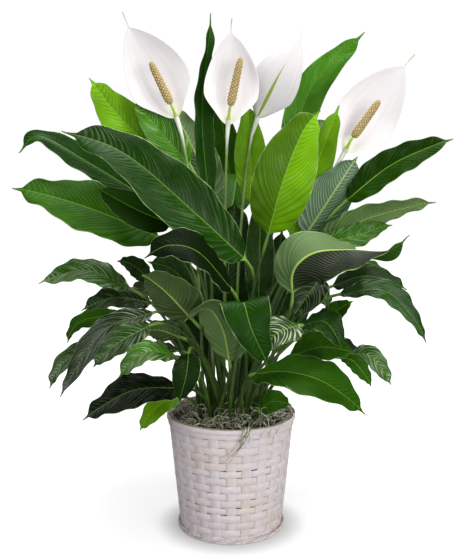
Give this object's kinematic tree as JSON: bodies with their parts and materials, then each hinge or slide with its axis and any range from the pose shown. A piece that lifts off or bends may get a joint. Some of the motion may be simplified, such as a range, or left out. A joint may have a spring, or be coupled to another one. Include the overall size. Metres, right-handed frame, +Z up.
{
  "type": "potted peace lily",
  "caption": "Peace lily with arching lance-shaped leaves and white hooded blooms, standing in a tapered whitewashed woven basket.",
  "frame": {"origin": "on the floor, under the middle of the basket's round base", "axes": "+Z up; the pictured front of the plant faces -Y, and +X is to the right of the picture"},
  "size_m": [0.5639, 0.4258, 0.7031],
  "materials": {
    "green": "waxy mid-green leaf, soft gloss",
    "glossy": "deep green leaf with a wet-looking gloss",
    "dark": "dark blue-green older leaf, soft gloss",
    "light": "young yellow-green leaf, soft gloss",
    "under": "matt grey-green underside of a leaf",
    "stalk": "smooth light green flower stalk",
    "spathe": "near-white bract, satin",
    "spadix": "cream to tan spike of small florets, matt",
    "splint": "whitewashed chipwood splints, dry and matt",
    "band": "whitewashed wide rim and foot splints, matt",
    "board": "plain thin wooden disc",
    "pot": "thin black moulded plastic",
    "soil": "damp dark potting mix, crumbly",
    "moss": "dry curly grey-green moss"
  },
  "bodies": {
    "root": {"basket_base": "board", "basket_foot": "band", "basket_rim": "band", "basket_weave": "splint", "bloom_left_spadix": "spadix", "bloom_left_spathe": "spathe", "bloom_left_stalk": "stalk", "bloom_middle_spadix": "spadix", "bloom_middle_spathe": "spathe", "bloom_middle_stalk": "stalk", "bloom_right_spadix": "spadix", "bloom_right_spathe": "spathe", "bloom_right_stalk": "stalk", "bloom_turned_spadix": "spadix", "bloom_turned_spathe": "spathe", "bloom_turned_stalk": "stalk", "leaf_back_left": "glossy", "leaf_back_low": "dark", "leaf_back_low_left": "dark", "leaf_back_low_right": "dark", "leaf_back_middle": "green", "leaf_back_right": "light", "leaf_crown_left": "dark", "leaf_crown_middle": "light", "leaf_crown_right": "green", "leaf_front_arched": "under", "leaf_front_hanging": "dark", "leaf_front_low_right": "green", "leaf_front_middle": "glossy", "leaf_front_right": "glossy", "leaf_front_striped": "dark", "leaf_left_bottom": "light", "leaf_left_folded": "dark", "leaf_left_inner": "green", "leaf_left_long": "dark", "leaf_left_low": "dark", "leaf_left_middle": "green", "leaf_left_olive": "under", "leaf_left_outer": "dark", "leaf_left_pale": "green", "leaf_left_upper_small": "green", "leaf_left_wide": "green", "leaf_middle_arched": "dark", "leaf_middle_under": "under", "leaf_right_arch": "glossy", "leaf_right_bottom": "green", "leaf_right_broad": "under", "leaf_right_dark": "dark", "leaf_right_grey": "dark", "leaf_right_hanging": "dark", "leaf_right_low_pale": "under", "leaf_right_lower": "green", "leaf_right_tier": "green", "leaf_right_under": "under", "leaf_upper_left": "glossy", "leaf_upright_light": "light", "leaf_upright_right": "light", "moss": "moss", "nursery_pot": "pot", "soil": "soil"}
  },
  "joints": []
}
